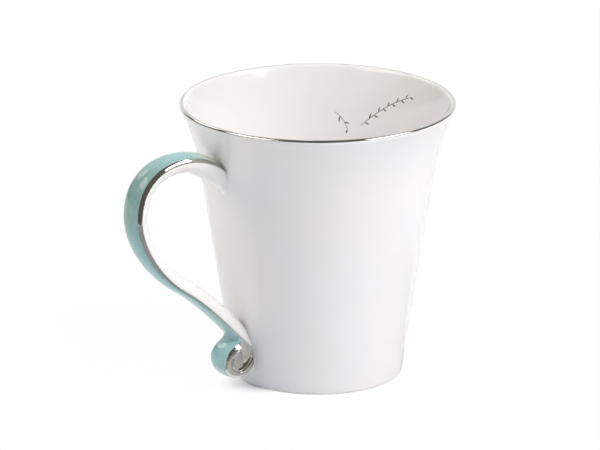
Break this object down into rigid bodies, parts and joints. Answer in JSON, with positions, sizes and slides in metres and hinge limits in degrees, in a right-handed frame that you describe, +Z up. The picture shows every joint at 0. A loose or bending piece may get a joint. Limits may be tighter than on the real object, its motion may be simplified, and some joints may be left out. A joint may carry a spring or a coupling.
{
  "type": "mug",
  "caption": "Flared bone china mug with a looped strap handle that ends in a rolled scroll near the foot.",
  "frame": {"origin": "on the mug's axis in the plane that the foot ring rests on", "axes": "+Z up along the mug's axis, handle towards -X"},
  "size_m": [0.1311, 0.0982, 0.1],
  "materials": {
    "bone_china": "clear gloss glaze over white bone china",
    "pale_enamel": "pale blue-green gloss enamel",
    "fired_metal": "bright fired platinum lustre"
  },
  "bodies": {
    "root": {"cup_body": "bone_china", "lip_band": "fired_metal", "handle_casting": "bone_china", "arm_enamel": "pale_enamel", "scroll_enamel": "pale_enamel", "front_metal_edge": "fired_metal", "rear_metal_edge": "fired_metal", "upper_slip_joint": "bone_china", "lower_slip_joint": "bone_china"}
  },
  "joints": []
}
